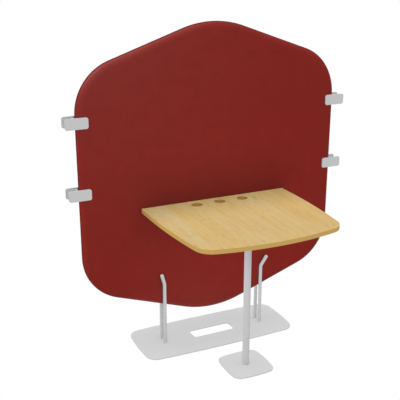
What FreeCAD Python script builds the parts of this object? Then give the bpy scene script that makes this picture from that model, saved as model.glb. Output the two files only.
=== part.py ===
import FreeCAD, Part
import math
import os

# A desk with a privacy screen. A padded six-sided screen stands upright between two pairs of rods
# on a steel base plate. The worktop hangs on the screen with two angle brackets, and its front
# stands on a post with a foot plate. Link clips on the screen's side edges take the next screen.
# Millimetres, Z up from the floor, X to the user's right, Y from the user towards the screen.
# Every piece is drawn with the screen's middle plane at y = 0, and save() moves it into place.

Vector = FreeCAD.Vector
UP = Vector(0, 0, 1)
BACK = Vector(0, 1, 0)

# Screen outline: upright sides, and a shallow roof above and below
screen_width = 1300.0
side_low_z = 344.0            # where an upright side meets the lower slope, before rounding
side_high_z = 1331.5
roof_rise = 227.0             # from a side corner to the sharp apex
side_corner_radius = 239.0
apex_radius = 462.0

# Screen layers
screen_thickness = 45.0
core_thickness = 18.0
core_inset = 16.0             # from the screen's outline to the board's edge
piping_width = 5.0
edge_round = 26.0             # how far the rounded edge of a pad reaches in from the seam
crown = 1.5                   # rise of a pad's face from its rounded edge to its flat middle
crown_run = 150.0
edge_steps = 6
crown_steps = 3
piping_steps = 8

# Fork rods
rod_diameter = 17.0
rod_x = 262.0
rod_y = 22.1                  # the rods press into the padding on both faces
rod_bend_z = 320.0
rod_bend_radius = 40.0
rod_flare_angle = 27.0        # of the tip from the vertical
rod_flare_length = 65.0
rod_flare_heading = 45.0      # of the tip, from sideways towards straight away from the screen
rod_tip_round = 2.5
rod_channel_gap = 0.3         # between a rod and the padding that it presses into
fork_bolt_heights = (245.0, 293.0)

# Base plate and foot plate
plate_thickness = 6.0
pad_thickness = 2.0
pad_diameter = 30.0
base_length = 796.0
base_depth = 321.0
base_end_bow = 10.0
base_side_bow = 10.5
base_corner_radius = 55.0
slot_length = 220.0
slot_width = 73.0
slot_corner_radius = 18.0
foot_size = 214.0
foot_bow = 9.0
foot_corner_radius = 38.0
plate_edge_round = 1.0

# Worktop
worktop_top_z = 717.0
worktop_thickness = 21.0
worktop_gap = 2.5             # between the screen's face and the worktop's rear edge
worktop_width = 739.5
worktop_depth = 610.5
worktop_straight = 97.0       # straight stretch of each side, from the rear edge
worktop_side_radius = 2900.0
worktop_front_radius = 1250.0
worktop_corner_radius = 82.0
worktop_rear_corner_radius = 4.0
worktop_edge_round = 2.0
cable_hole_diameter = 52.0
cable_hole_spacing = 117.0
cable_hole_setback = 53.5     # from the rear edge to the holes' centres

# Post
post_diameter = 32.0
post_wall = 2.0
post_distance = 360.0         # from the screen's middle plane
flange_diameter = 110.0
flange_thickness = 4.0
flange_screw_circle = 84.0
plug_length = 24.0

# Brackets
bracket_x = 210.0
bracket_width = 60.0
bracket_leg = 40.0
bracket_thickness = 3.0
bracket_bend = 1.5            # inside radius of the bend
bracket_corner_radius = 8.0
bracket_screw_offset = 18.0   # of each screw from the bracket's middle

# Link clips
clip_heights = {"upper": 1134.0, "lower": 816.5}
clip_length = 103.0
clip_inset = 1.0              # of a clip's middle from the screen's side edge
clip_height = 49.5
clip_thickness = 6.0
clip_corner_radius = 10.0
clip_edge_round = 1.5
clip_grip_gap = 0.3           # between a clip plate and the padding
clip_spacer_width = 10.0
clip_spacer_height = 40.0
clip_spacer_gap = 1.0         # from the screen's edge to the spacer
clip_screw_rise = 12.0        # of each screw from the clip's middle

# Fasteners: shank and head sizes, with a small gap in each hole
fit_gap = 0.1
thread_spare = 1.0            # depth of a threaded hole past its screw's end
rod_screw = {"shank": 8.0, "head": 15.0, "length": 28.0}
foot_screw = {"shank": 10.0, "head": 18.0, "length": 24.0}
clip_screw = {"shank": 4.0, "head": 8.0, "length": 55.0}
fork_bolt = {"shank": 6.0, "head": 10.0, "head_height": 6.0, "length": 48.0}
panel_screw = {"shank": 6.0, "head": 12.0, "head_height": 4.0, "length": 26.0}
wood_screw = {"shank": 4.0, "head": 9.0, "head_height": 3.0, "length": 18.0}
sleeve_diameter = 10.0
insert_diameter = 9.0
insert_length = 13.0
countersink_slope = 1.0       # head radius lost for each millimetre of depth

# Worked out from the sizes above
screen_face = screen_thickness / 2
core_face = core_thickness / 2
seam = piping_width / 2
plate_top = pad_thickness + plate_thickness
worktop_under = worktop_top_z - worktop_thickness
worktop_rear_y = -(screen_face + worktop_gap)
worktop_front_y = worktop_rear_y - worktop_depth
cable_hole_y = worktop_rear_y - cable_hole_setback
clip_inner = screen_face + clip_grip_gap
clip_outer = clip_inner + clip_thickness
spacer_start = screen_width / 2 + clip_spacer_gap
sides = {"left": -1, "right": 1}
faces = {"front": -1, "rear": 1}
tolerance = 1e-3
corner_rounds = 20            # enough to settle the worktop's corner well within the tolerance

# The origin is on the floor, in the middle of the object's box
to_origin = Vector(0, -(worktop_front_y + base_depth / 2) / 2, 0)


def save(name, shape):
    """Write one piece to its own file, moved so that the frame's origin is under the object's middle."""
    shape.translated(to_origin).exportStep(f"parts/{name}.step")


def cylinder(diameter, start, direction, length):
    return Part.makeCylinder(diameter / 2, length, start, direction)


def rounded_loop(corners, radii):
    """A closed loop of straight runs joined by tangent arcs, one radius for each corner."""
    edges = []
    last_end = None
    first_start = None
    for i, corner in enumerate(corners):
        into = (corner - corners[i - 1]).normalize()
        out = (corners[(i + 1) % len(corners)] - corner).normalize()
        half_turn = into.getAngle(out) / 2
        reach = radii[i] * math.tan(half_turn)
        start = corner - into * reach
        end = corner + out * reach
        inward = (out - into).normalize()
        middle = corner + inward * radii[i] * (1 / math.cos(half_turn) - 1)
        if last_end is not None:
            edges.append(Part.LineSegment(last_end, start).toShape())
        else:
            first_start = start
        edges.append(Part.Arc(start, middle, end).toShape())
        last_end = end
    edges.append(Part.LineSegment(last_end, first_start).toShape())
    return Part.Wire(edges)


def screen_outline(inset, y):
    """The screen's outline drawn in by a distance, in the upright plane at y."""
    slope = math.atan2(roof_rise, screen_width / 2)
    half = screen_width / 2 - inset
    apex_shift = inset / math.cos(slope)
    top = side_high_z + roof_rise - apex_shift
    bottom = side_low_z - roof_rise + apex_shift
    fall = half * math.tan(slope)
    corners = [
        Vector(0, y, top),
        Vector(half, y, top - fall),
        Vector(half, y, bottom + fall),
        Vector(0, y, bottom),
        Vector(-half, y, bottom + fall),
        Vector(-half, y, top - fall),
    ]
    apex = apex_radius - inset
    side = side_corner_radius - inset
    return rounded_loop(corners, [apex, side, side, apex, side, side])


def upright_slab(inset, y_low, y_high):
    """A board with the screen's outline, between two upright planes."""
    return Part.Face(screen_outline(inset, y_low)).extrude(BACK * (y_high - y_low))


def rod_path(side, face):
    """The middle line of a fork rod: straight up, one bend, then a tip that leans out and away."""
    foot = Vector(side * rod_x, face * rod_y, plate_top)
    bend = Vector(side * rod_x, face * rod_y, rod_bend_z)
    angle = math.radians(rod_flare_angle)
    heading = math.radians(rod_flare_heading)
    across = math.sin(angle)
    tip = Vector(side * across * math.cos(heading), face * across * math.sin(heading), math.cos(angle))
    reach = rod_bend_radius * math.tan(angle / 2)
    arc_start = bend - UP * reach
    arc_end = bend + tip * reach
    inward = (tip - UP).normalize()
    arc_middle = bend + inward * rod_bend_radius * (1 / math.cos(angle / 2) - 1)
    return Part.Wire([
        Part.LineSegment(foot, arc_start).toShape(),
        Part.Arc(arc_start, arc_middle, arc_end).toShape(),
        Part.LineSegment(arc_end, bend + tip * rod_flare_length).toShape(),
    ])


def rod_bar(side, face, diameter):
    path = rod_path(side, face)
    foot = Vector(side * rod_x, face * rod_y, plate_top)
    section = Part.Wire(Part.makeCircle(diameter / 2, foot, UP))
    return path.makePipeShell([section], True, False)


def fork_bolt_points():
    return [Vector(side * rod_x, 0, z) for side in sides.values() for z in fork_bolt_heights]


def bracket_screw_xs():
    return [
        side * bracket_x + step
        for side in sides.values()
        for step in (-bracket_screw_offset, bracket_screw_offset)
    ]


def panel_screw_points():
    z = worktop_under - bracket_leg / 2 - bracket_thickness / 2
    return [Vector(x, -(screen_face + bracket_thickness), z) for x in bracket_screw_xs()]


def bracket_top_screw_points():
    y = -(screen_face + bracket_leg / 2 + bracket_thickness / 2 + worktop_gap)
    return [Vector(x, y, worktop_under - bracket_thickness) for x in bracket_screw_xs()]


def flange_screw_points():
    points = []
    for quarter in range(4):
        angle = math.radians(45 + 90 * quarter)
        x = flange_screw_circle / 2 * math.cos(angle)
        y = flange_screw_circle / 2 * math.sin(angle) - post_distance
        points.append(Vector(x, y, worktop_under - flange_thickness))
    return points


def headed_screw(size, seat, direction):
    """A screw with a flat round head that sits on a face at seat, its shank along direction."""
    shank = cylinder(size["shank"] - 2 * fit_gap, seat, direction, size["length"])
    head = cylinder(size["head"], seat, direction * -1, size["head_height"])
    return head.fuse(shank).removeSplitter()


def countersunk_screw(size, face_point, direction):
    """A screw whose conical head is flush with a face at face_point, its shank along direction."""
    shank_radius = size["shank"] / 2 - fit_gap
    head_radius = size["head"] / 2
    depth = (head_radius - shank_radius) * countersink_slope
    head = Part.makeCone(head_radius, shank_radius, depth, face_point, direction)
    shank = cylinder(2 * shank_radius, face_point, direction, size["length"])
    return head.fuse(shank).removeSplitter()


def countersunk_hole(size, face_point, direction):
    """The hole that takes a countersunk screw, a small gap larger than it all round."""
    wide = {**size, "shank": size["shank"] + 2 * fit_gap, "head": size["head"] + 2 * fit_gap}
    start = face_point - direction * fit_gap
    return countersunk_screw(wide, start, direction)


def round_edges(solid, radius, keep):
    """Round every edge that the test keep() picks."""
    return solid.makeFillet(radius, [edge for edge in solid.Edges if keep(edge)])


def is_upright(edge):
    box = edge.BoundBox
    return box.ZLength > tolerance and box.XLength < tolerance and box.YLength < tolerance


def lies_at(edge, z):
    box = edge.BoundBox
    return abs(box.ZMin - z) < tolerance and abs(box.ZMax - z) < tolerance


def bowed_plate(length, depth, end_bow, side_bow, corner_radius):
    """A steel plate whose four sides bow out a little between large round corners."""
    x = length / 2
    y = depth / 2
    corners = [
        Vector(sx * (x - end_bow), sy * (y - side_bow), pad_thickness)
        for sx, sy in ((-1, -1), (1, -1), (1, 1), (-1, 1))
    ]
    crests = [
        Vector(crest_x, crest_y, pad_thickness)
        for crest_x, crest_y in ((0, -y), (x, 0), (0, y), (-x, 0))
    ]
    arcs = [
        Part.Arc(corners[i], crests[i], corners[(i + 1) % 4]).toShape()
        for i in range(4)
    ]
    plate = Part.Face(Part.Wire(arcs)).extrude(UP * plate_thickness)
    plate = round_edges(plate, corner_radius, is_upright)
    return round_edges(plate, plate_edge_round, lambda edge: lies_at(edge, plate_top))


def screen_core():
    """The board inside the screen, bored for the fork sleeves and the threaded inserts."""
    core = upright_slab(core_inset, -core_face, core_face)
    holes = [
        cylinder(sleeve_diameter + 2 * fit_gap, point - BACK * screen_face, BACK, screen_thickness)
        for point in fork_bolt_points()
    ]
    for point in panel_screw_points():
        start = Vector(point.x, -core_face, point.z)
        holes.append(cylinder(insert_diameter + 2 * fit_gap, start, BACK, insert_length))
    return core.cut(holes)


def edge_piping():
    """The welt sewn in between the two covers: a flat flange with a round nose, right round the screen."""
    sections = []
    for step in range(piping_steps + 1):
        angle = math.pi * (step / piping_steps - 0.5)
        inset = seam * (1 - math.cos(angle))
        sections.append(screen_outline(inset, seam * math.sin(angle)))
    nose = Part.makeLoft(sections, True, True)
    return nose.cut(upright_slab(core_inset - fit_gap, -piping_width, piping_width))


def screen_pad(face):
    """One side's foam and cover: a rounded edge, a slight crown, a pocket for the board, and the
    channels where the fork rods press in."""
    shoulder = screen_face - crown
    sections = []
    for step in range(edge_steps + 1):
        angle = math.pi / 2 * step / edge_steps
        inset = seam + edge_round * (1 - math.cos(angle))
        depth = seam + (shoulder - seam) * math.sin(angle)
        sections.append(screen_outline(inset, face * depth))
    for step in range(1, crown_steps + 1):
        share = step / crown_steps
        inset = seam + edge_round + crown_run * share
        depth = screen_face - crown * (1 - share) ** 2
        sections.append(screen_outline(inset, face * depth))
    from_front = sections if face > 0 else sections[::-1]
    pad = Part.makeLoft(from_front, True, True)
    cuts = [upright_slab(core_inset - 2 * fit_gap, -core_face - fit_gap, core_face + fit_gap)]
    for side in sides.values():
        cuts.append(rod_bar(side, face, rod_diameter + 2 * rod_channel_gap))
    for point in fork_bolt_points():
        start = point - BACK * screen_face
        cuts.append(cylinder(sleeve_diameter + 2 * fit_gap, start, BACK, screen_thickness))
    if face < 0:
        for point in panel_screw_points():
            cuts.append(cylinder(panel_screw["shank"] + 2 * fit_gap, point, BACK, screen_thickness))
    return pad.cut(cuts)


def fork_rod(side, face):
    """A bent bar with a threaded foot. The rear rod is bored through for the fork bolts, and the
    front one is threaded from behind."""
    bar = rod_bar(side, face, rod_diameter)
    tip = rod_path(side, face).OrderedVertexes[-1].Point
    bar = round_edges(
        bar, rod_tip_round, lambda edge: edge.BoundBox.Center.distanceToPoint(tip) < rod_tip_round
    )
    foot = Vector(side * rod_x, face * rod_y, plate_top)
    thread_depth = rod_screw["length"] - plate_thickness + thread_spare
    cuts = [cylinder(rod_screw["shank"], foot, UP, thread_depth)]
    back = rod_y + rod_diameter / 2
    for z in fork_bolt_heights:
        bore = fork_bolt["head_height"] + fork_bolt["length"] + thread_spare
        cuts.append(cylinder(fork_bolt["shank"], Vector(side * rod_x, back - bore, z), BACK, bore))
        if face > 0:
            seat = Vector(side * rod_x, back - fork_bolt["head_height"], z)
            cuts.append(cylinder(fork_bolt["head"] + 2 * fit_gap, seat, BACK, rod_diameter))
    return bar.cut(cuts)


def fork_bolts():
    seat_y = rod_y + rod_diameter / 2 - fork_bolt["head_height"]
    return [headed_screw(fork_bolt, point + BACK * seat_y, BACK * -1) for point in fork_bolt_points()]


def fork_sleeves():
    reach = rod_y - rod_diameter / 2 - fit_gap
    sleeves = []
    for point in fork_bolt_points():
        start = point - BACK * reach
        outer = cylinder(sleeve_diameter, start, BACK, 2 * reach)
        sleeves.append(outer.cut(cylinder(fork_bolt["shank"], start, BACK, 2 * reach)))
    return sleeves


def rod_screw_points():
    return [
        Vector(side * rod_x, face * rod_y, pad_thickness)
        for side in sides.values()
        for face in faces.values()
    ]


def base_plate():
    """The long plate under the screen, with a slot in the middle to lift it by."""
    plate = bowed_plate(base_length, base_depth, base_end_bow, base_side_bow, base_corner_radius)
    x = slot_length / 2
    y = slot_width / 2
    corners = [Vector(sx * x, sy * y, 0) for sx, sy in ((-1, -1), (1, -1), (1, 1), (-1, 1))]
    slot = Part.Face(rounded_loop(corners, [slot_corner_radius] * 4)).extrude(UP * 2 * plate_top)
    plate = plate.cut(slot)

    def on_slot_rim(edge):
        place = edge.BoundBox.Center
        inside = abs(place.x) < x + tolerance and abs(place.y) < y + tolerance
        return inside and lies_at(edge, plate_top)

    plate = round_edges(plate, plate_edge_round, on_slot_rim)
    return plate.cut([countersunk_hole(rod_screw, point, UP) for point in rod_screw_points()])


def foot_plate():
    """The small plate under the post, held by one countersunk screw."""
    plate = bowed_plate(foot_size, foot_size, foot_bow, foot_bow, foot_corner_radius)
    plate = plate.cut(countersunk_hole(foot_screw, Vector(0, 0, pad_thickness), UP))
    return plate.translated(Vector(0, -post_distance, 0))


def floor_pads(points):
    return [cylinder(pad_diameter, Vector(x, y, 0), UP, pad_thickness) for x, y in points]


def worktop_side_x(y):
    """Half the worktop's width at y, along the curved part of its side."""
    run = worktop_rear_y - worktop_straight - y
    return worktop_width / 2 - worktop_side_radius + math.sqrt(worktop_side_radius**2 - run**2)


def worktop_front_at(x):
    """The y of the bowed front edge at x."""
    return worktop_front_y + worktop_front_radius - math.sqrt(worktop_front_radius**2 - x**2)


def worktop_corner():
    """The point where the side's curve meets the front's, found by stepping from one to the other."""
    x = worktop_width / 2
    for _ in range(corner_rounds):
        y = worktop_front_at(x)
        x = worktop_side_x(y)
    return x, y


def worktop():
    """A board with slightly curved sides, a bowed front, large front corners and three cable holes."""
    half = worktop_width / 2
    z = worktop_under
    straight_end = worktop_rear_y - worktop_straight
    corner_x, corner_y = worktop_corner()
    middle_y = (straight_end + corner_y) / 2
    middle_x = worktop_side_x(middle_y)
    rear = [Vector(sx * half, worktop_rear_y, z) for sx in (-1, 1)]
    straight = [Vector(sx * half, straight_end, z) for sx in (-1, 1)]
    middle = [Vector(sx * middle_x, middle_y, z) for sx in (-1, 1)]
    corner = [Vector(sx * corner_x, corner_y, z) for sx in (-1, 1)]
    outline = Part.Wire([
        Part.LineSegment(rear[0], rear[1]).toShape(),
        Part.LineSegment(rear[1], straight[1]).toShape(),
        Part.Arc(straight[1], middle[1], corner[1]).toShape(),
        Part.Arc(corner[1], Vector(0, worktop_front_y, z), corner[0]).toShape(),
        Part.Arc(corner[0], middle[0], straight[0]).toShape(),
        Part.LineSegment(straight[0], rear[0]).toShape(),
    ])
    board = Part.Face(outline).extrude(UP * worktop_thickness)

    def at_point(edge, points):
        place = edge.BoundBox.Center
        near = [p for p in points if math.hypot(place.x - p.x, place.y - p.y) < tolerance]
        return is_upright(edge) and len(near) > 0

    board = round_edges(board, worktop_corner_radius, lambda edge: at_point(edge, corner))
    board = round_edges(board, worktop_rear_corner_radius, lambda edge: at_point(edge, rear))
    hole_centres = [Vector(step * cable_hole_spacing, cable_hole_y, z) for step in (-1, 0, 1)]
    board = board.cut([
        cylinder(cable_hole_diameter, centre, UP, worktop_thickness) for centre in hole_centres
    ])
    board = round_edges(
        board, worktop_edge_round, lambda edge: lies_at(edge, z) or lies_at(edge, worktop_top_z)
    )
    pilots = [
        cylinder(wood_screw["shank"], point, UP, wood_screw["length"] + fit_gap)
        for point in bracket_top_screw_points() + flange_screw_points()
    ]
    return board.cut(pilots)


def bracket(side):
    """An angle bracket: one leg flat on the screen's face, the other under the worktop."""
    corner = Vector(side * bracket_x - bracket_width / 2, -screen_face, worktop_under)
    reach = bracket_leg + worktop_gap
    upright = Part.makeBox(
        bracket_width, bracket_thickness, bracket_leg,
        corner - Vector(0, bracket_thickness, bracket_leg),
    )
    shelf = Part.makeBox(
        bracket_width, reach, bracket_thickness, corner - Vector(0, reach, bracket_thickness)
    )
    angle = upright.fuse(shelf).removeSplitter()

    def at_bend(edge, depth):
        place = edge.BoundBox.Center
        away = math.hypot(place.y + screen_face + depth, place.z - worktop_under + depth)
        return edge.BoundBox.XLength > tolerance and away < tolerance

    def at_leg_end(edge):
        place = edge.BoundBox.Center
        low = place.z < worktop_under - bracket_leg + tolerance
        forward = place.y < -screen_face - reach + tolerance
        return edge.BoundBox.XLength < tolerance and (low or forward)

    angle = round_edges(angle, bracket_bend, lambda edge: at_bend(edge, bracket_thickness))
    angle = round_edges(angle, bracket_bend + bracket_thickness, lambda edge: at_bend(edge, 0))
    angle = round_edges(angle, bracket_corner_radius, at_leg_end)
    holes = [
        cylinder(panel_screw["shank"] + 2 * fit_gap, point, BACK, bracket_thickness)
        for point in panel_screw_points()
    ]
    holes += [
        cylinder(wood_screw["shank"] + 2 * fit_gap, point, UP, bracket_thickness)
        for point in bracket_top_screw_points()
    ]
    return angle.cut(holes)


def insert_nuts():
    nuts = []
    for point in panel_screw_points():
        start = Vector(point.x, -core_face, point.z)
        outer = cylinder(insert_diameter, start, BACK, insert_length)
        nuts.append(outer.cut(cylinder(panel_screw["shank"], start, BACK, insert_length)))
    return nuts


def post():
    """The tube between the foot plate and the flange."""
    foot = Vector(0, -post_distance, plate_top)
    length = worktop_under - flange_thickness - plate_top
    bore = post_diameter - 2 * post_wall
    return cylinder(post_diameter, foot, UP, length).cut(cylinder(bore, foot, UP, length))


def post_plug():
    """The threaded plug in the post's lower end, which takes the foot screw."""
    foot = Vector(0, -post_distance, plate_top)
    bore = post_diameter - 2 * post_wall
    plug = cylinder(bore - 2 * fit_gap, foot, UP, plug_length)
    return plug.cut(cylinder(foot_screw["shank"], foot, UP, plug_length))


def post_flange():
    """The round plate on top of the post, screwed to the underside of the worktop."""
    base = Vector(0, -post_distance, worktop_under - flange_thickness)
    plate = cylinder(flange_diameter, base, UP, flange_thickness)
    plate = round_edges(plate, plate_edge_round, lambda edge: lies_at(edge, base.z))
    holes = [
        cylinder(wood_screw["shank"] + 2 * fit_gap, point, UP, flange_thickness)
        for point in flange_screw_points()
    ]
    return plate.cut(holes)


def clip_screw_points(side, height):
    x = side * (spacer_start + clip_spacer_width / 2)
    return [Vector(x, clip_outer, height + rise) for rise in (-clip_screw_rise, clip_screw_rise)]


def clip_plate(side, height, face):
    """One cheek of a link clip. The rear cheek is countersunk, and the front one has blind threads."""
    x = clip_length / 2
    z = clip_height / 2
    middle = side * (screen_width / 2 - clip_inset)
    corners = [
        Vector(middle + sx * x, face * clip_inner, height + sz * z)
        for sx, sz in ((-1, -1), (1, -1), (1, 1), (-1, 1))
    ]
    outline = rounded_loop(corners, [clip_corner_radius] * 4)
    plate = Part.Face(outline).extrude(BACK * face * clip_thickness)

    def on_outer_face(edge):
        box = edge.BoundBox
        return box.YLength < tolerance and abs(box.Center.y - face * clip_outer) < tolerance

    plate = round_edges(plate, clip_edge_round, on_outer_face)
    forward = BACK * -1
    holes = []
    for point in clip_screw_points(side, height):
        if face > 0:
            holes.append(countersunk_hole(clip_screw, point, forward))
        else:
            holes.append(cylinder(clip_screw["shank"], point, forward, clip_screw["length"] + fit_gap))
    return plate.cut(holes)


def clip_spacer(side, height):
    """The bar that holds a clip's two cheeks apart, just outside the screen's edge."""
    x = min(side * spacer_start, side * (spacer_start + clip_spacer_width))
    corner = Vector(x, -clip_inner, height - clip_spacer_height / 2)
    bar = Part.makeBox(clip_spacer_width, 2 * clip_inner, clip_spacer_height, corner)
    bores = [
        cylinder(clip_screw["shank"] + 2 * fit_gap, point, BACK * -1, clip_screw["length"])
        for point in clip_screw_points(side, height)
    ]
    return bar.cut(bores)


def clip_screws(side, height):
    return [countersunk_screw(clip_screw, point, BACK * -1) for point in clip_screw_points(side, height)]


os.makedirs("parts", exist_ok=True)

save("screen_core", screen_core())
save("edge_piping", edge_piping())
for face_name, face in faces.items():
    save(f"{face_name}_pad", screen_pad(face))
save("insert_nuts", Part.makeCompound(insert_nuts()))

for side_name, side in sides.items():
    for face_name, face in faces.items():
        save(f"{side_name}_{face_name}_rod", fork_rod(side, face))
save("fork_bolts", Part.makeCompound(fork_bolts()))
save("fork_sleeves", Part.makeCompound(fork_sleeves()))

save("base_plate", base_plate())
rod_screws = [countersunk_screw(rod_screw, point, UP) for point in rod_screw_points()]
save("rod_screws", Part.makeCompound(rod_screws))
base_pad_places = [
    (step * (base_length / 2 - base_corner_radius), face * (base_depth / 2 - base_side_bow - pad_diameter))
    for step in (-1, 0, 1)
    for face in faces.values()
]
save("base_pads", Part.makeCompound(floor_pads(base_pad_places)))

save("worktop", worktop())
for side_name, side in sides.items():
    save(f"{side_name}_bracket", bracket(side))
panel_screws = [headed_screw(panel_screw, point, BACK) for point in panel_screw_points()]
save("bracket_panel_screws", Part.makeCompound(panel_screws))
top_screws = [headed_screw(wood_screw, point, UP) for point in bracket_top_screw_points()]
save("bracket_top_screws", Part.makeCompound(top_screws))

save("post", post())
save("post_plug", post_plug())
save("post_flange", post_flange())
flange_screws = [headed_screw(wood_screw, point, UP) for point in flange_screw_points()]
save("flange_screws", Part.makeCompound(flange_screws))
save("foot_plate", foot_plate())
save("foot_screw", countersunk_screw(foot_screw, Vector(0, -post_distance, pad_thickness), UP))
foot_pad_reach = foot_size / 2 - pad_diameter
foot_pad_places = [
    (sx * foot_pad_reach, sy * foot_pad_reach - post_distance)
    for sx in (-1, 1)
    for sy in (-1, 1)
]
save("foot_pads", Part.makeCompound(floor_pads(foot_pad_places)))

for side_name, side in sides.items():
    for level, height in clip_heights.items():
        clip = f"{side_name}_{level}_clip"
        for face_name, face in faces.items():
            save(f"{clip}_{face_name}_plate", clip_plate(side, height, face))
        save(f"{clip}_spacer", clip_spacer(side, height))
        save(f"{clip}_screws", Part.makeCompound(clip_screws(side, height)))
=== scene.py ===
# %% [markdown]
# # A desk with a privacy screen
# A padded screen stands upright in a steel fork, and a small worktop hangs on its front with a post
# under it. The CAD model already gives every rigid piece its true shape and place, so it is loaded
# first and never moved. This lesson adds what CAD leaves plain: the soft padding, the sewn edge, the
# screw heads and every finish.

# %% Load the frame
import math

import bmesh
import bpy
from mathutils import Matrix, Vector


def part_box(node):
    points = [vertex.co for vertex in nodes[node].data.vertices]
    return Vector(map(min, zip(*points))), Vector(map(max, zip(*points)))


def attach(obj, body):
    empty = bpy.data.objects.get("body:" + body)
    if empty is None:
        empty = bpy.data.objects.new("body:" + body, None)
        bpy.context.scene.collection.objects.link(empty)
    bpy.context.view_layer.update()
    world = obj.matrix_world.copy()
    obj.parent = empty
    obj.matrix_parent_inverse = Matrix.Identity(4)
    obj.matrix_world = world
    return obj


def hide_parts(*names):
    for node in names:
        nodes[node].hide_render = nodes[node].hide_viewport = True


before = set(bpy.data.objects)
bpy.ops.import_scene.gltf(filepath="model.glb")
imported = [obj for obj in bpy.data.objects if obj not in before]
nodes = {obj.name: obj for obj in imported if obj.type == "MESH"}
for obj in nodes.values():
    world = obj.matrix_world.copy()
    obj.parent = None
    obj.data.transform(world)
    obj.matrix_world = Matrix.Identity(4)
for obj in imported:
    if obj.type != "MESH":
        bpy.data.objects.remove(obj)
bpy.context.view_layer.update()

# %% [markdown]
# ## Camera
# The picture was taken from the front left, a little above the screen. A camera could be aimed by eye,
# but its place, turn and lens were solved from straight edges of the object, so they are simply written
# down here. A camera looks along its own -Z, so a quarter turn about X makes it level and the fall is
# taken off that.

# %% Camera
camera_place = Vector((-1.4784, -2.7758, 1.8220))
camera_turn = math.radians(-25.13)
camera_fall = math.radians(18.51)
lens_mm = 66.88
sensor_mm = 36.0

camera_data = bpy.data.cameras.new("camera")
camera_data.lens = lens_mm
camera_data.sensor_width = sensor_mm
camera = bpy.data.objects.new("camera", camera_data)
camera.location = camera_place
camera.rotation_euler = (math.pi / 2 - camera_fall, 0, camera_turn)
bpy.context.scene.collection.objects.link(camera)
bpy.context.scene.camera = camera
print("camera at", [round(x, 3) for x in camera.location])

# %% [markdown]
# ## Colours and nodes
# Paint charts and colour pickers give sRGB hex values, and Blender's sockets want linear light, so one
# function turns one into the other. A second function adds a shader node with its settings and links in
# one line. A value that is a socket becomes a link, and any other value is typed into the socket.

# %% Colour and node helpers
def linear(hex_colour):
    """The linear RGBA of an sRGB hex colour."""
    shares = [int(hex_colour[i:i + 2], 16) / 255 for i in (1, 3, 5)]
    light = [s / 12.92 if s <= 0.04045 else ((s + 0.055) / 1.055) ** 2.4 for s in shares]
    return (*light, 1.0)


def add_node(tree, kind, inputs=None, **settings):
    """Add one node, with its settings, its socket values and its links."""
    node = tree.nodes.new(kind)
    for name, value in settings.items():
        setattr(node, name, value)
    for socket, value in (inputs or {}).items():
        if isinstance(value, bpy.types.NodeSocket):
            tree.links.new(value, node.inputs[socket])
        else:
            node.inputs[socket].default_value = value
    return node


def new_finish(name):
    """An empty material, and its node tree."""
    material = bpy.data.materials.new(name)
    material.use_nodes = True
    material.node_tree.nodes.clear()
    return material, material.node_tree


print("linear mid grey:", round(linear("#808080")[0], 4))

# %% [markdown]
# ## White cove
# A catalogue picture is taken in a white cove, a floor that goes up into a wall, lit so strongly that
# it burns out to plain white. Here a large half sphere is cut off at the ground and its rim is filled,
# which makes the floor. A cove that lights the object would fill every shade and tint the grey steel
# with red from the screen, and the picture shows neither. So the cove glows, and only the camera sees
# it.

# %% Cove
cove_radius = 60.0
cove_glow = 1.0

bm = bmesh.new()
bmesh.ops.create_uvsphere(bm, u_segments=96, v_segments=48, radius=cove_radius)
sphere = bm.verts[:] + bm.edges[:] + bm.faces[:]
bmesh.ops.bisect_plane(bm, geom=sphere, plane_co=(0, 0, 0), plane_no=(0, 0, 1), clear_inner=True)
bmesh.ops.contextual_create(bm, geom=[edge for edge in bm.edges if edge.is_boundary])
bmesh.ops.recalc_face_normals(bm, faces=bm.faces[:])
bmesh.ops.reverse_faces(bm, faces=bm.faces[:])
cove_mesh = bpy.data.meshes.new("cove")
bm.to_mesh(cove_mesh)
bm.free()
cove = bpy.data.objects.new("cove", cove_mesh)
bpy.context.scene.collection.objects.link(cove)
cove.visible_diffuse = False
cove.visible_glossy = False
cove.visible_shadow = False

white_paint, tree = new_finish("floodlit white paint")
paint = add_node(tree, "ShaderNodeEmission", {"Color": linear("#FFFFFF"), "Strength": cove_glow})
add_node(tree, "ShaderNodeOutputMaterial", {"Surface": paint.outputs[0]})
white_paint.cycles.emission_sampling = "NONE"
cove_mesh.materials.append(white_paint)
print("cove radius", cove_radius, "m")

# %% [markdown]
# ## Light
# The largest part of the light comes from all round and is shaded only by what lies within a hand or
# two, so the screen darkens softly just above the worktop and beside a clip. A real sky would shade it
# from much further off, and the picture shows none of that. Cycles has near shade of this kind as its
# fast approximation of indirect light, so the sky is left only for what gloss mirrors, and a few
# bounces are kept for pale steel that lights its neighbours.

# %% Sky and near light
sky_low = 0.20
sky_high = 0.30
near_light = 0.91
near_reach = 0.27

world = bpy.data.worlds.new("studio sky")
world.use_nodes = True
tree = world.node_tree
tree.nodes.clear()
direction = add_node(tree, "ShaderNodeTexCoord")
height = add_node(tree, "ShaderNodeSeparateXYZ", {0: direction.outputs["Generated"]})
brightness = add_node(tree, "ShaderNodeMapRange", {
    "Value": height.outputs["Z"],
    "From Min": -1.0,
    "From Max": 1.0,
    "To Min": sky_low,
    "To Max": sky_high,
})
sky = add_node(tree, "ShaderNodeBackground", {"Strength": brightness.outputs[0]})
add_node(tree, "ShaderNodeOutputWorld", {"Surface": sky.outputs[0]})
world.cycles_visibility.diffuse = False
world.light_settings.ao_factor = near_light
world.light_settings.distance = near_reach
bpy.context.scene.world = world
bpy.context.scene.cycles.use_fast_gi = True
bpy.context.scene.cycles.fast_gi_method = "ADD"
bpy.context.scene.cycles.diffuse_bounces = 4
bpy.context.scene.view_settings.view_transform = "Standard"
print("sky", sky_low, "to", sky_high, "and near light", near_light, "shaded within", near_reach, "m")

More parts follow.
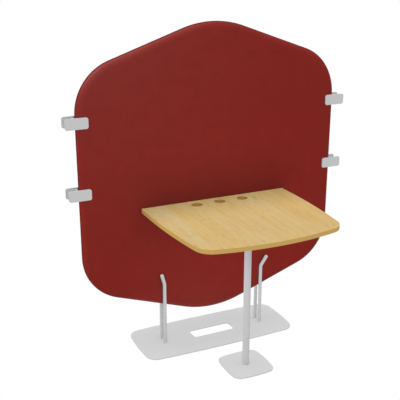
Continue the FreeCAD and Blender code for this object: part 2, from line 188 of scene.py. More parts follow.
# %% [markdown]
# ## Lamps
# Three soft lamps without shadows finish the light. One hangs overhead, a little to the left, and lifts
# what faces up: the worktop and the plates. One stands in front and only gives gloss, a faint haze on
# the red that is strongest towards the upper left. The third is a strip lamp high on the left, aimed
# straight along the screen, so that it misses the faces and draws a bright line on the padding's upper
# edge. It will be tied to the padding alone.

# %% Lamps
def add_lamp(name, kind, strength, place, aim):
    """A lamp without a shadow, at a place and looking along a direction."""
    data = bpy.data.lights.new(name, kind)
    data.energy = strength
    data.use_shadow = False
    lamp = bpy.data.objects.new(name, data)
    lamp.location = place
    lamp.rotation_euler = Vector(aim).to_track_quat("-Z", "Y").to_euler()
    bpy.context.scene.collection.objects.link(lamp)
    print(name, strength)
    return lamp


overhead = add_lamp("soft overhead lamp", "SUN", 1.05, (0, 0, 3), (0.35, 0.12, -1.0))
overhead.data.angle = math.radians(30)
front_lamp = add_lamp("soft front lamp", "AREA", 10.0, (-0.5, -1.7, 1.85), (0, 1, 0))
front_lamp.data.size = 1.0
front_lamp.visible_diffuse = False
strip_lamp = add_lamp("strip lamp along the screen", "SUN", 1.2, (0, 0, 3), (0.75, 0.0, -1.0))
strip_lamp.data.angle = math.radians(20)

# %% [markdown]
# ## Felted wool
# Office screens are covered in a wool felt: fulled until no weave shows, with a short nap. To the eye
# it is a deep, quite even red with faint cloudy patches where the nap lies another way, a soft tooth
# close up and a broad dull gloss from countless fibre ends. Real fibres are a few hundredths of a
# millimetre, far too fine to show, so the tooth is drawn with tufts of about three millimetres.

# %% Felted wool
mm = 0.001
nap_patch = 70 * mm
tuft = 3 * mm
wool_tooth = 0.4 * mm

wool, tree = new_finish("red wool felt")
place = add_node(tree, "ShaderNodeTexCoord")
patches = add_node(tree, "ShaderNodeTexNoise", {
    "Vector": place.outputs["Object"], "Scale": 1 / nap_patch, "Detail": 3.0, "Roughness": 0.55,
})
tufts = add_node(tree, "ShaderNodeTexNoise", {
    "Vector": place.outputs["Object"], "Scale": 1 / tuft, "Detail": 4.0, "Roughness": 0.6,
})
nap = add_node(tree, "ShaderNodeMath", {0: patches.outputs[0], 1: tufts.outputs[0]}, operation="ADD")
reds = add_node(tree, "ShaderNodeMapRange", {"Value": nap.outputs[0], "From Min": 0.7, "From Max": 1.3})
wool_colour = add_node(tree, "ShaderNodeMix", {
    0: reds.outputs[0], 6: linear("#751C16"), 7: linear("#7F2019"),
}, data_type="RGBA")
tooth = add_node(tree, "ShaderNodeBump", {
    "Height": tufts.outputs[0], "Strength": 0.5, "Distance": wool_tooth,
})
felt = add_node(tree, "ShaderNodeBsdfPrincipled", {
    "Base Color": wool_colour.outputs[2],
    "Roughness": 0.6,
    "Specular IOR Level": 0.5,
    "Normal": tooth.outputs[0],
})
add_node(tree, "ShaderNodeOutputMaterial", {"Surface": felt.outputs[0]})
print("made", wool.name)

# %% [markdown]
# ## Welt cloth
# The welt in the seam is a thin cord wrapped in the same felt, cut on the bias and pulled tight, and it
# is coloured a darker red than the felt. Its ribs follow the bias at a slant, about two millimetres
# apart.

# %% Welt cloth
bias_rib = 2 * mm
rib_height = 0.3 * mm
waves_per_unit = 20 / (2 * math.pi)  # as the wave node draws them at a scale of 1

welt_cloth, tree = new_finish("dark red welt cloth")
place = add_node(tree, "ShaderNodeTexCoord")
slant = add_node(tree, "ShaderNodeMapping", {
    "Vector": place.outputs["Object"], "Rotation": (0.0, math.radians(45), math.radians(45)),
})
ribs = add_node(tree, "ShaderNodeTexWave", {
    "Vector": slant.outputs[0],
    "Scale": 1 / (bias_rib * waves_per_unit),
    "Distortion": 1.5,
    "Detail": 2.0,
})
welt_colour = add_node(tree, "ShaderNodeMix", {
    0: ribs.outputs[1], 6: linear("#4E1715"), 7: linear("#5B1D1A"),
}, data_type="RGBA")
rib_relief = add_node(tree, "ShaderNodeBump", {
    "Height": ribs.outputs[1], "Strength": 0.4, "Distance": rib_height,
})
welt_shader = add_node(tree, "ShaderNodeBsdfPrincipled", {
    "Base Color": welt_colour.outputs[2],
    "Roughness": 0.9,
    "Specular IOR Level": 0.2,
    "Normal": rib_relief.outputs[0],
})
add_node(tree, "ShaderNodeOutputMaterial", {"Surface": welt_shader.outputs[0]})
print("made", welt_cloth.name)

# %% [markdown]
# ## Lacquered maple
# The worktop is faced with pale maple under a satin lacquer. Its grain runs from front to back: broad
# soft stripes that go from a straw colour to a warm honey, narrower darker streaks in them, hair-fine
# lines over all and a few short brown flecks. One noise pattern, stretched along the grain at four
# widths, draws them all. It is moved sideways until a broad straw stripe lies left of the middle, as on
# the real board.

# %% Maple grain
grain_shift = 2.7  # in line widths
grain_sizes = {  # width and length of a line, detail, and how far it wanders
    "stripes": (85 * mm, 900 * mm, 1.5, 0.4),
    "streaks": (18 * mm, 280 * mm, 2.0, 0.5),
    "hairs": (2.2 * mm, 90 * mm, 2.0, 0.2),
    "flecks": (7 * mm, 32 * mm, 0.0, 0.3),
}

maple, tree = new_finish("lacquered maple")
place = add_node(tree, "ShaderNodeTexCoord")
grain = {}
for name, (width, length, detail, wander) in grain_sizes.items():
    stretched = add_node(tree, "ShaderNodeMapping", {
        "Vector": place.outputs["Object"],
        "Location": (grain_shift, 0, 0),
        "Scale": (1 / width, 1 / length, 1 / width),
    })
    grain[name] = add_node(tree, "ShaderNodeTexNoise", {
        "Vector": stretched.outputs[0],
        "Scale": 1.0,
        "Detail": detail,
        "Roughness": 0.55,
        "Distortion": wander,
    })
print("made", len(grain), "grain patterns for", maple.name)

# %% [markdown]
# ## Maple colours
# The edge is banded with a strip of deeper, yellower wood, and the cable holes are bored through it.
# Their walls are left raw, a shade browner, and are darkened further as painted shade inside the holes.
# Both are upright faces, so the face's own direction tells them from the top, and the bores are the
# upright faces in the strip where they were drilled.

# %% Maple colours and lacquer
bored_half = 200 * mm
bored_front = 100 * mm
pore_depth = 0.2 * mm

honey = add_node(tree, "ShaderNodeMapRange", {
    "Value": grain["stripes"].outputs[0], "From Min": 0.24, "From Max": 0.74,
})
shade = add_node(tree, "ShaderNodeMapRange", {
    "Value": grain["streaks"].outputs[0], "From Min": 0.42, "From Max": 0.72, "To Max": 0.6,
})
hair = add_node(tree, "ShaderNodeMapRange", {
    "Value": grain["hairs"].outputs[0], "From Min": 0.45, "From Max": 0.75, "To Max": 0.45,
})
fleck = add_node(tree, "ShaderNodeMapRange", {
    "Value": grain["flecks"].outputs[0], "From Min": 0.73, "From Max": 0.8, "To Max": 0.5,
})
striped = add_node(tree, "ShaderNodeMix", {
    0: honey.outputs[0], 6: linear("#CDBA8A"), 7: linear("#CEAE6E"),
}, data_type="RGBA")
streaked = add_node(tree, "ShaderNodeMix", {
    0: shade.outputs[0], 6: striped.outputs[2], 7: linear("#C3A069"),
}, data_type="RGBA")
lined = add_node(tree, "ShaderNodeMix", {
    0: hair.outputs[0], 6: streaked.outputs[2], 7: linear("#B8945C"),
}, data_type="RGBA")
flecked = add_node(tree, "ShaderNodeMix", {
    0: fleck.outputs[0], 6: lined.outputs[2], 7: linear("#AC854F"),
}, data_type="RGBA")
facing = add_node(tree, "ShaderNodeNewGeometry")
facing_z = add_node(tree, "ShaderNodeSeparateXYZ", {0: facing.outputs["True Normal"]})
upright = add_node(tree, "ShaderNodeMath", {0: facing_z.outputs["Z"]}, operation="ABSOLUTE")
on_edge = add_node(tree, "ShaderNodeMapRange", {
    "Value": upright.outputs[0], "From Min": 0.35, "From Max": 0.85, "To Min": 1.0, "To Max": 0.0,
})
where = add_node(tree, "ShaderNodeSeparateXYZ", {0: place.outputs["Object"]})
aside = add_node(tree, "ShaderNodeMath", {0: where.outputs["X"]}, operation="ABSOLUTE")
near_middle = add_node(tree, "ShaderNodeMath", {
    0: aside.outputs[0], 1: bored_half,
}, operation="LESS_THAN")
near_rear = add_node(tree, "ShaderNodeMath", {
    0: where.outputs["Y"], 1: bored_front,
}, operation="GREATER_THAN")
# The bore walls get a browner, darker colour: raw wood with painted shade of the holes.
bore_wall_shade_mask = add_node(tree, "ShaderNodeMath", {
    0: near_middle.outputs[0], 1: near_rear.outputs[0],
}, operation="MULTIPLY")
edge_band_and_bore_shade = add_node(tree, "ShaderNodeMix", {
    0: bore_wall_shade_mask.outputs[0], 6: linear("#C49F5A"), 7: linear("#AB7F43"),
}, data_type="RGBA")
banded = add_node(tree, "ShaderNodeMix", {
    0: on_edge.outputs[0], 6: flecked.outputs[2], 7: edge_band_and_bore_shade.outputs[2],
}, data_type="RGBA")
pores = add_node(tree, "ShaderNodeBump", {
    "Height": grain["hairs"].outputs[0], "Strength": 0.12, "Distance": pore_depth,
})
lacquer = add_node(tree, "ShaderNodeBsdfPrincipled", {
    "Base Color": banded.outputs[2],
    "Roughness": 0.42,
    "Specular IOR Level": 0.35,
    "Normal": pores.outputs[0],
})
add_node(tree, "ShaderNodeOutputMaterial", {"Surface": lacquer.outputs[0]})
print("made", maple.name)

# %% [markdown]
# ## Powder coat
# The steel is sprayed with dry paint powder and baked. The paint flows into a matt light grey skin with
# a fine orange peel, a little over a millimetre from crest to crest, and with the faintest speckle.

# %% Powder coat
orange_peel = 1.4 * mm
peel_height = 0.2 * mm
speckle = 0.8 * mm

powder, tree = new_finish("light grey powder coat on steel")
place = add_node(tree, "ShaderNodeTexCoord")
peel = add_node(tree, "ShaderNodeTexNoise", {
    "Vector": place.outputs["Object"], "Scale": 1 / orange_peel, "Detail": 1.0,
})
specks = add_node(tree, "ShaderNodeTexNoise", {
    "Vector": place.outputs["Object"], "Scale": 1 / speckle, "Detail": 2.0,
})
powder_colour = add_node(tree, "ShaderNodeMix", {
    0: specks.outputs[0], 6: linear("#BFBFC0"), 7: linear("#CACACB"),
}, data_type="RGBA")
skin = add_node(tree, "ShaderNodeBump", {
    "Height": peel.outputs[0], "Strength": 0.25, "Distance": peel_height,
})
powder_shader = add_node(tree, "ShaderNodeBsdfPrincipled", {
    "Base Color": powder_colour.outputs[2],
    "Roughness": 0.55,
    "Specular IOR Level": 0.4,
    "Normal": skin.outputs[0],
})
add_node(tree, "ShaderNodeOutputMaterial", {"Surface": powder_shader.outputs[0]})
print("made", powder.name)

# %% [markdown]
# ## Small finishes
# Zinc plating is a soft silvery metal with a slight blue cast and cloudy patches from the bath. The
# floor pads are matt black rubber, and the board inside the screen is raw chipboard that only shows
# where something is taken off.

# %% Zinc, rubber and board
zinc_cloud = 4 * mm
rubber_grain = 1.2 * mm
chip = 6 * mm

zinc, tree = new_finish("zinc plated steel")
place = add_node(tree, "ShaderNodeTexCoord")
clouds = add_node(tree, "ShaderNodeTexNoise", {
    "Vector": place.outputs["Object"], "Scale": 1 / zinc_cloud, "Detail": 3.0,
})
zinc_colour = add_node(tree, "ShaderNodeMix", {
    0: clouds.outputs[0], 6: linear("#CDD0D3"), 7: linear("#DFE1E4"),
}, data_type="RGBA")
zinc_gloss = add_node(tree, "ShaderNodeMapRange", {
    "Value": clouds.outputs[0], "To Min": 0.28, "To Max": 0.45,
})
zinc_shader = add_node(tree, "ShaderNodeBsdfPrincipled", {
    "Base Color": zinc_colour.outputs[2], "Metallic": 1.0, "Roughness": zinc_gloss.outputs[0],
})
add_node(tree, "ShaderNodeOutputMaterial", {"Surface": zinc_shader.outputs[0]})

rubber, tree = new_finish("black rubber")
place = add_node(tree, "ShaderNodeTexCoord")
rubber_noise = add_node(tree, "ShaderNodeTexNoise", {
    "Vector": place.outputs["Object"], "Scale": 1 / rubber_grain, "Detail": 2.0,
})
rubber_colour = add_node(tree, "ShaderNodeMix", {
    0: rubber_noise.outputs[0], 6: linear("#232323"), 7: linear("#2E2E2E"),
}, data_type="RGBA")
rubber_shader = add_node(tree, "ShaderNodeBsdfPrincipled", {
    "Base Color": rubber_colour.outputs[2], "Roughness": 0.8, "Specular IOR Level": 0.3,
})
add_node(tree, "ShaderNodeOutputMaterial", {"Surface": rubber_shader.outputs[0]})

board, tree = new_finish("raw chipboard")
place = add_node(tree, "ShaderNodeTexCoord")
chips = add_node(tree, "ShaderNodeTexVoronoi", {"Vector": place.outputs["Object"], "Scale": 1 / chip})
board_colour = add_node(tree, "ShaderNodeMix", {
    0: chips.outputs["Distance"], 6: linear("#C8A878"), 7: linear("#9C7A4E"),
}, data_type="RGBA")
board_shader = add_node(tree, "ShaderNodeBsdfPrincipled", {
    "Base Color": board_colour.outputs[2], "Roughness": 0.85,
})
add_node(tree, "ShaderNodeOutputMaterial", {"Surface": board_shader.outputs[0]})
print("made", zinc.name, "and", rubber.name, "and", board.name)

# %% [markdown]
# ## Screen outline
# Seen from the front the screen has upright sides and a shallow roof above and below, with every corner
# rounded. The covers and the welt between them follow this one line at different distances inside it.
# It could be traced point by point, but each corner is a true arc, so one vertex is spun round each
# corner's centre, and the straight runs between the arcs are cut into even steps. The sizes are those
# of the CAD model.

# %% Screen outline
piping_low, piping_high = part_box("edge_piping")
half_width = piping_high.x
screen_y = (piping_low.y + piping_high.y) / 2
side_low = 344 * mm
side_high = 1331.5 * mm
roof_rise = 227 * mm
side_radius = 239 * mm
apex_radius = 462 * mm
roof_slope = math.atan2(roof_rise, half_width)


def outline_corners(y, inset):
    """The six sharp corners of the outline drawn in by a distance, and the radius of each."""
    half = half_width - inset
    apex_shift = inset / math.cos(roof_slope)
    top = side_high + roof_rise - apex_shift
    low = side_low - roof_rise + apex_shift
    fall = half * math.tan(roof_slope)
    right = [(0, top), (half, top - fall), (half, low + fall)]
    left = [(0, low), (-half, low + fall), (-half, top - fall)]
    radii = [apex_radius, side_radius, side_radius] * 2
    return [Vector((x, y, z)) for x, z in right + left], [radius - inset for radius in radii]


def draw_outline(bm, y, inset, spacing):
    """Draw the outline as a closed loop of edges, spinning one vertex round each corner."""
    corners, radii = outline_corners(y, inset)
    first = end = None
    runs = []
    for i, radius in enumerate(radii):
        into = (corners[i] - corners[i - 1]).normalized()
        out = (corners[(i + 1) % 6] - corners[i]).normalized()
        turn = into.angle(out)
        start = bm.verts.new(corners[i] - into * radius * math.tan(turn / 2))
        first = first or start
        if end:
            runs.append(bm.edges.new((end, start)))
        centre = start.co + Vector((0, 1, 0)).cross(into) * radius
        steps = 2 * round(radius * turn / spacing / 2)
        spun = bmesh.ops.spin(bm, geom=[start], cent=centre, axis=(0, 1, 0), angle=turn, steps=steps)
        end = [v for v in spun["geom_last"] if isinstance(v, bmesh.types.BMVert)][0]
    runs.append(bm.edges.new((end, first)))
    for run in runs:
        bmesh.ops.subdivide_edges(bm, edges=[run], cuts=round(run.calc_length() / spacing) - 1)


print("outline", round(2 * half_width, 3), "m wide, middle plane at y =", round(screen_y, 4))

# %% [markdown]
# ## Cover of one pad
# Each face of the screen is a foam slab under a stretched felt cover. The cover rises out of the seam
# in a generous round, and then swells very slightly towards the middle of the face. A voxel remesh
# would lose the clean sweep of that edge, so the cover is drawn as one big face inside the seam, inset
# ring by ring along the edge's profile. The last opening is filled with a grid, which leaves only quads
# for the cloth to bend along.

# %% Cover rings
cloth_spacing = 9 * mm
seam = 2.5 * mm
edge_round = 26 * mm
shoulder = 21.0 * mm
face_depth = 22.5 * mm
crown_run = 150 * mm
edge_steps = 12
crown_steps = 18

profile = [(0.0, 0.0)]
for step in range(1, edge_steps + 1):
    angle = math.pi / 2 * step / edge_steps
    profile.append((edge_round * (1 - math.cos(angle)), (shoulder - seam) * math.sin(angle)))
for step in range(1, crown_steps + 1):
    share = step / crown_steps
    swell = (face_depth - shoulder) * (1 - (1 - share) ** 2)
    profile.append((edge_round + crown_run * share, shoulder - seam + swell))

bm = bmesh.new()
draw_outline(bm, screen_y - seam, seam, cloth_spacing)
middle = bmesh.ops.contextual_create(bm, geom=bm.edges[:])["faces"][0]
middle.normal_update()
if middle.normal.y > 0:
    middle.normal_flip()
for (last_inset, last_depth), (inset, depth) in zip(profile, profile[1:]):
    bmesh.ops.inset_region(
        bm, faces=[middle], thickness=inset - last_inset, depth=depth - last_depth,
        use_even_offset=True, use_boundary=True,
    )
print("rings:", len(profile) - 1, "faces:", len(bm.faces))

# %% Cover middle
tolerance = 0.01 * mm
reach = seam + edge_round + crown_run
inner_radius = side_radius - reach
inner_edges = list(middle.edges)
side_heights = [v.co.z for v in middle.verts if abs(v.co.x) > half_width - reach - 0.1 * mm]
bmesh.ops.delete(bm, geom=[middle], context="FACES_ONLY")

# The grid's two rails are the roof lines, each from the middle of one side corner to that of the other
corner_rise = inner_radius * math.sin((math.pi / 2 - roof_slope) / 2) - tolerance
upper = max(side_heights) + corner_rise
lower = min(side_heights) - corner_rise
rails = [
    edge for edge in inner_edges
    if all(v.co.z > upper for v in edge.verts) or all(v.co.z < lower for v in edge.verts)
]
bmesh.ops.grid_fill(bm, edges=rails, use_smooth=True)

# Finer cloth near the rods, where it has to bend into a valley
rod_x = 262 * mm
rod_reach = 400 * mm
fine_half = 45 * mm
fine_depth = 10 * mm


def near_rod(v):
    """Whether a point of the cover lies on the face and beside a rod."""
    beside = abs(abs(v.co.x) - rod_x) < fine_half
    return beside and v.co.z < rod_reach and v.co.y < screen_y - fine_depth


fine = [edge for edge in bm.edges if all(near_rod(v) for v in edge.verts)]
bmesh.ops.subdivide_edges(bm, edges=fine, cuts=1, use_grid_fill=True)
bmesh.ops.recalc_face_normals(bm, faces=bm.faces[:])
cover_mesh = bpy.data.meshes.new("cover")
bm.to_mesh(cover_mesh)
bm.free()
cover = bpy.data.objects.new("cover", cover_mesh)
bpy.context.scene.collection.objects.link(cover)
print("cover:", len(cover_mesh.vertices), "vertices,", len(cover_mesh.polygons), "faces")

# %% [markdown]
# ## Rods pressed into the padding
# The steel rods clamp the screen from both sides and sink a good eight millimetres into the foam. Where
# a rod lies on it, the cover is as deep as the rod, and beside it the foam pushes the felt back up in a
# soft shoulder. Letting the cloth collide with the rods leaves a jagged shoulder, so the few vertices
# under a rod are pressed to its surface with a shape key, and the cloth simulation finds the rest.

# %% Rod contact
rod_y = 22.1 * mm
rod_bed_radius = 8.9 * mm
rod_bend_z = 320 * mm
rod_flare = math.radians(27)
rod_heading = math.radians(45)
rod_lean = math.tan(rod_flare) * math.sin(rod_heading)
contact_half = 6.5 * mm


def rod_bed(point):
    """How deep a rod leaves the cover here, from the middle plane, or None clear of the rods."""
    past_bend = max(0.0, point.z - rod_bend_z) * rod_lean
    beside = abs(abs(point.x) - rod_x - past_bend)
    if point.z > rod_reach or beside > contact_half:
        return None
    return rod_y + past_bend - math.sqrt(rod_bed_radius**2 - beside**2)


cover.shape_key_add(name="free")
pressed = cover.shape_key_add(name="pressed")
under_rods = []
for v in cover_mesh.vertices:
    bed = rod_bed(v.co)
    if bed is not None and screen_y - v.co.y > bed:
        pressed.data[v.index].co.y = screen_y - bed
        under_rods.append(v.index)
print("cloth points under the rods:", len(under_rods))

# %% [markdown]
# ## Cloth and foam
# Felt over foam behaves like a tight skin on a soft bed. The seam and the points under the rods are
# pinned hard. Every other point is pinned almost as hard to the foam's shape, so it may give a little.
# The cloth shrinks a touch, as a cover that is cut small does, and a light pressure stands for the
# foam. Gravity is off, because the cover is held all round. Fourteen frames settle it, and the result
# becomes a plain mesh.

# %% Cloth simulation
foam_hold = 0.9
press_frames = 9
settle_frame = 14

foam = cover.vertex_groups.new(name="foam")
foam.add([v.index for v in cover_mesh.vertices], foam_hold, "REPLACE")
in_seam = [v.index for v in cover_mesh.vertices if v.co.y > screen_y - seam - tolerance]
foam.add(in_seam, 1.0, "REPLACE")
foam.add(under_rods, 1.0, "REPLACE")
for frame_number, share in ((1, 0.0), (press_frames, 1.0)):
    pressed.value = share
    pressed.keyframe_insert("value", frame=frame_number)

cloth = cover.modifiers.new("felt cover", "CLOTH")
cloth.collision_settings.use_collision = False
felt_cloth = cloth.settings
felt_cloth.quality = 5
felt_cloth.mass = 0.02
felt_cloth.tension_stiffness = 80
felt_cloth.compression_stiffness = 80
felt_cloth.shear_stiffness = 20
felt_cloth.bending_stiffness = 1.0
felt_cloth.air_damping = 2.0
felt_cloth.shrink_min = 0.008
felt_cloth.vertex_group_mass = foam.name
felt_cloth.pin_stiffness = 1.0
felt_cloth.use_pressure = True
felt_cloth.uniform_pressure_force = 4.0
felt_cloth.effector_weights.gravity = 0

for frame_number in range(1, settle_frame + 1):
    bpy.context.scene.frame_set(frame_number)
settled = cover.evaluated_get(bpy.context.evaluated_depsgraph_get())
felt_mesh = bpy.data.meshes.new_from_object(settled)
moved = max((a.co - b.co).length for a, b in zip(felt_mesh.vertices, cover_mesh.vertices))
bpy.data.objects.remove(cover)
bpy.context.scene.frame_set(1)
print("the cover gave way by up to", round(moved / mm, 1), "mm")

# %% [markdown]
# ## Two closed pads
# A pad isn't a sheet: behind its cover it has a flat back with a shallow pocket for the board. The open
# seam loop is filled, inset to the board's edge and pushed in. The rear pad is the same piece turned
# over, made by a negative scale about the screen's middle plane, so its normals are turned outwards
# again.

# %% Pads
pocket_inset = 13.3 * mm
pocket_depth = 6.5 * mm

bm = bmesh.new()
bm.from_mesh(felt_mesh)
for cover_face in bm.faces:
    cover_face.smooth = True
seam_edges = [edge for edge in bm.edges if edge.is_boundary]
back = bmesh.ops.contextual_create(bm, geom=seam_edges)["faces"]
bmesh.ops.recalc_face_normals(bm, faces=bm.faces[:])
bmesh.ops.inset_region(bm, faces=back, thickness=pocket_inset, use_even_offset=True, use_boundary=True)
pocket = bmesh.ops.extrude_face_region(bm, geom=back)["geom"]
bmesh.ops.delete(bm, geom=back, context="FACES_ONLY")
pocket_floor = [v for v in pocket if isinstance(v, bmesh.types.BMVert)]
bmesh.ops.translate(bm, vec=(0, -pocket_depth, 0), verts=pocket_floor)


def add_piece(name, bm, finish, body, slot, *cad_nodes):
    """Make a finished piece of a bmesh, ride it on a body, and hide the CAD nodes that it replaces."""
    mesh = bpy.data.meshes.new(name)
    bm.to_mesh(mesh)
    mesh.materials.append(finish)
    piece = bpy.data.objects.new(name, mesh)
    bpy.context.scene.collection.objects.link(piece)
    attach(piece, body)
    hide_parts(*cad_nodes)
    print(name, "has", len(mesh.polygons), "faces and rides on", body)
    return piece


front_padding = add_piece("front_padding", bm, wool, "desk", "screen_fabric", "front_pad")
turn_over = Matrix.Translation((0, -screen_y, 0))
bmesh.ops.scale(bm, vec=(1, -1, 1), space=turn_over, verts=bm.verts[:])
bmesh.ops.recalc_face_normals(bm, faces=bm.faces[:])
rear_padding = add_piece("rear_padding", bm, wool, "desk", "screen_fabric", "rear_pad")
bm.free()

# %% [markdown]
# ## Welt
# The two covers meet in a seam with a welt: a thin cord in its own strip of cloth, sewn in between
# them. It shows as a fine dark line right round the screen. It could be an edge loop of the pads, but
# it is a round cord, so a curve follows the outline with a round bevel and is then made a mesh.

# %% Welt
welt_radius = seam
welt_spacing = 5 * mm

bm = bmesh.new()
draw_outline(bm, screen_y, welt_radius, welt_spacing)
bm.verts.ensure_lookup_table()
point = bm.verts[0]
run = point.link_edges[0]
path = []
for _ in range(len(bm.verts)):
    path.append(point.co.copy())
    point = run.other_vert(point)
    run = [edge for edge in point.link_edges if edge != run][0]
bm.free()

welt_curve = bpy.data.curves.new("welt", "CURVE")
welt_curve.dimensions = "3D"
welt_curve.bevel_depth = welt_radius
welt_curve.bevel_resolution = 3
line = welt_curve.splines.new("POLY")
line.use_cyclic_u = True
line.points.add(len(path) - 1)
for spline_point, co in zip(line.points, path):
    spline_point.co = (*co, 1.0)
    spline_point.radius = 1.0
cord = bpy.data.objects.new("welt", welt_curve)
bpy.context.scene.collection.objects.link(cord)
cord_mesh = bpy.data.meshes.new_from_object(cord.evaluated_get(bpy.context.evaluated_depsgraph_get()))
bpy.data.objects.remove(cord)
bm = bmesh.new()
bm.from_mesh(cord_mesh)
bmesh.ops.remove_doubles(bm, verts=bm.verts[:], dist=tolerance)
bmesh.ops.recalc_face_normals(bm, faces=bm.faces[:])
for cord_face in bm.faces:
    cord_face.smooth = True
add_piece("seam_welt", bm, welt_cloth, "desk", "piping_fabric", "edge_piping")
bm.free()
print("welt points:", len(path))

# %% [markdown]
# ## Socket screws
# Every screw on the object has a head with a hexagon socket: flat countersunk heads under the plates
# and on the clips, low round heads on the brackets and the flange, and cylinder heads let into the rear
# rods. A plain disc would do from afar, but the socket is what tells a screw from a rivet. Each head
# starts as a hexagon inside a circle, bridged into the top of the head. The hexagon is then extruded
# down into the socket, and the circle down and in, ring by ring, into the head's wall, its seat and the
# shank.

# %% Screw maker
socket_depth = 0.6  # of the key's width


def lower_loop(bm, edges, drop, share=1.0):
    """Extrude a loop of edges round the Z axis, lower it and draw it in, and return the new loop."""
    grown = bmesh.ops.extrude_edge_only(bm, edges=edges)["geom"]
    verts = [v for v in grown if isinstance(v, bmesh.types.BMVert)]
    bmesh.ops.translate(bm, vec=(0, 0, -drop), verts=verts)
    bmesh.ops.scale(bm, vec=(share, share, 1), verts=verts)
    return [edge for edge in grown if isinstance(edge, bmesh.types.BMEdge)]


def make_screw(head, head_height, seat, shank, length, key, rim):
    """A screw on the Z axis with its head's top at z = 0, from sizes in millimetres.

    They are the head's diameter and height, the diameters of its seat and the shank, the shank's length,
    the width of the key and the round of the rim.
    """
    bm = bmesh.new()
    circle = bmesh.ops.create_circle(bm, segments=24, radius=head * mm / 2)["verts"]
    rim_edges = list({edge for v in circle for edge in v.link_edges})
    hexagon = bmesh.ops.create_circle(bm, segments=6, radius=key * mm / math.sqrt(3))["verts"]
    sides = list({edge for v in hexagon for edge in v.link_edges})
    cut = bmesh.ops.subdivide_edges(bm, edges=sides, cuts=3)["geom_inner"]
    key_edges = list({edge for v in cut if isinstance(v, bmesh.types.BMVert) for edge in v.link_edges})
    bmesh.ops.bridge_loops(bm, edges=rim_edges + key_edges)
    socket = lower_loop(bm, key_edges, socket_depth * key * mm)
    bmesh.ops.contextual_create(bm, geom=socket)
    wall = lower_loop(bm, rim_edges, head_height * mm, seat / head)
    under = lower_loop(bm, wall, 0, shank / seat)
    end = lower_loop(bm, under, length * mm)
    bmesh.ops.contextual_create(bm, geom=end)
    bmesh.ops.bevel(
        bm, geom=rim_edges, offset=rim * mm, segments=3, profile=0.5, affect="EDGES", material=-1,
        clamp_overlap=True,
    )
    bmesh.ops.recalc_face_normals(bm, faces=bm.faces[:])
    pattern = bpy.data.meshes.new("screw pattern")
    bm.to_mesh(pattern)
    bm.free()
    return pattern


def set_screws(name, pattern, tops, facing, body, cad_node):
    """Copies of a screw with their heads' tops at these points, all facing one way, as one piece."""
    turn = Vector(facing).to_track_quat("Z", "Y").to_matrix().to_4x4()
    bm = bmesh.new()
    for top in tops:
        there = len(bm.verts)
        bm.from_mesh(pattern)
        bm.verts.ensure_lookup_table()
        bmesh.ops.transform(bm, matrix=Matrix.Translation(top) @ turn, verts=bm.verts[there:])
    add_piece(name, bm, zinc, body, "plated_steel", cad_node)
    bm.free()


fork_bolt = make_screw(head=10, head_height=6, seat=10, shank=5.8, length=48, key=5, rim=0.6)
print("a fork bolt has", len(fork_bolt.polygons), "faces")

# %% [markdown]
# ## Where the screws sit
# Each screw stands where the CAD model has a plain one, with the same head and a shank that is a hair
# thinner, so it fits the same hole. One piece holds all screws of a kind, as one CAD node does, and each
# clip carries its own two.

# %% Screws under the plates and in the fork
rod_radius = 8.5 * mm
floor_pad = 2 * mm
post_y = screen_y - 360 * mm
sides = (-1, 1)

bolt_y = screen_y + rod_y + rod_radius
bolt_heights = (245 * mm, 293 * mm)
bolt_tops = [(side * rod_x, bolt_y, z) for side in sides for z in bolt_heights]
set_screws("fork_bolt_set", fork_bolt, bolt_tops, (0, 1, 0), "desk", "fork_bolts")

rod_screw = make_screw(head=15, head_height=3.6, seat=7.8, shank=7.8, length=24.4, key=5, rim=0.3)
rod_tops = [(side * rod_x, screen_y + face * rod_y, floor_pad) for side in sides for face in (-1, 1)]
set_screws("rod_screw_set", rod_screw, rod_tops, (0, 0, -1), "desk", "rod_screws")

foot_screw = make_screw(head=18, head_height=4.1, seat=9.8, shank=9.8, length=19.9, key=6, rim=0.3)
set_screws("foot_screw_set", foot_screw, [(0, post_y, floor_pad)], (0, 0, -1), "desk", "foot_screw")

# %% Screws under the worktop
bracket_x = 210 * mm
bracket_step = 18 * mm
panel_screw_y = screen_y - 29.5 * mm
panel_screw_z = 674.5 * mm
shelf_screw_y = screen_y - 46.5 * mm
shelf_screw_z = 690 * mm
flange_circle = 42 * mm
flange_screw_z = 689 * mm

bracket_xs = [side * bracket_x + step * bracket_step for side in sides for step in (-1, 1)]
panel_screw = make_screw(head=12, head_height=4, seat=12, shank=5.8, length=26, key=4, rim=1.6)
panel_tops = [(x, panel_screw_y, panel_screw_z) for x in bracket_xs]
set_screws("panel_screw_set", panel_screw, panel_tops, (0, -1, 0), "desk", "bracket_panel_screws")

wood_screw = make_screw(head=9, head_height=3, seat=9, shank=3.8, length=18, key=3, rim=1.2)
shelf_tops = [(x, shelf_screw_y, shelf_screw_z) for x in bracket_xs]
set_screws("shelf_screw_set", wood_screw, shelf_tops, (0, 0, -1), "desk", "bracket_top_screws")

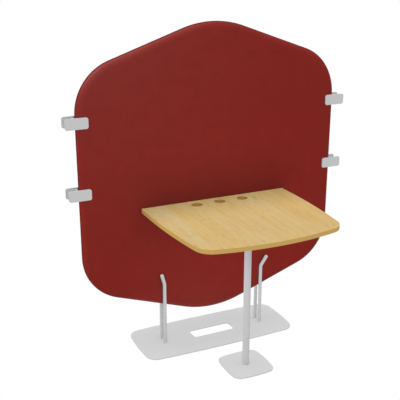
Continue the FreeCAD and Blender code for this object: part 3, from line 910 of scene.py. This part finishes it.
quarter = flange_circle * math.sqrt(0.5)
flange_tops = [(sx * quarter, post_y + sy * quarter, flange_screw_z) for sx in sides for sy in (-1, 1)]
set_screws("flange_screw_set", wood_screw, flange_tops, (0, 0, -1), "desk", "flange_screws")

# %% Screws of the clips
clip_x = 656 * mm
clip_back = screen_y + 28.8 * mm
clip_step = 12 * mm
clip_heights = {"upper": 1134 * mm, "lower": 816.5 * mm}

clip_screw = make_screw(head=8, head_height=2.1, seat=3.8, shank=3.8, length=52.9, key=2.5, rim=0.2)
for side_name, side in (("left", -1), ("right", 1)):
    for level, height in clip_heights.items():
        clip = f"{side_name}_{level}_clip"
        clip_tops = [(side * clip_x, clip_back, height + step * clip_step) for step in (-1, 1)]
        set_screws(f"{clip}_screw_set", clip_screw, clip_tops, (0, 1, 0), clip, f"{clip}_screws")

# %% [markdown]
# ## Finishes for the CAD nodes
# Each CAD node carries the name of its slot in the record, so one table from slot to finish dresses
# them all.

# %% Dress the CAD nodes
finishes = {
    "screen_fabric": wool,
    "piping_fabric": welt_cloth,
    "core_board": board,
    "worktop_wood": maple,
    "powder_coat": powder,
    "plated_steel": zinc,
    "pad_rubber": rubber,
}
for node in nodes.values():
    for i, material in enumerate(node.data.materials):
        node.data.materials[i] = finishes[material.name]
print("dressed", len(nodes), "nodes")

# %% [markdown]
# ## Who lights whom
# Pale steel lights itself: the foot of a rod is bright because the plate under it is. The felt and the
# wood would send their colour onto the steel in the same way, and the picture shows clean grey there. A
# photographer hangs a cloth between the two, and here everything but the pale steel is left out of the
# bounce. Light linking keeps the strip lamp to the padding in the same spirit.

# %% Who lights whom
pieces = [piece for piece in bpy.context.scene.objects if piece.type == "MESH"]
for piece in pieces:
    piece.visible_diffuse = piece.data.materials[0] == powder
under_strip = bpy.data.collections.new("padding under the strip lamp")
under_strip.objects.link(front_padding)
under_strip.objects.link(rear_padding)
strip_lamp.light_linking.receiver_collection = under_strip
print("pale steel pieces that throw light:", sum(piece.visible_diffuse for piece in pieces))
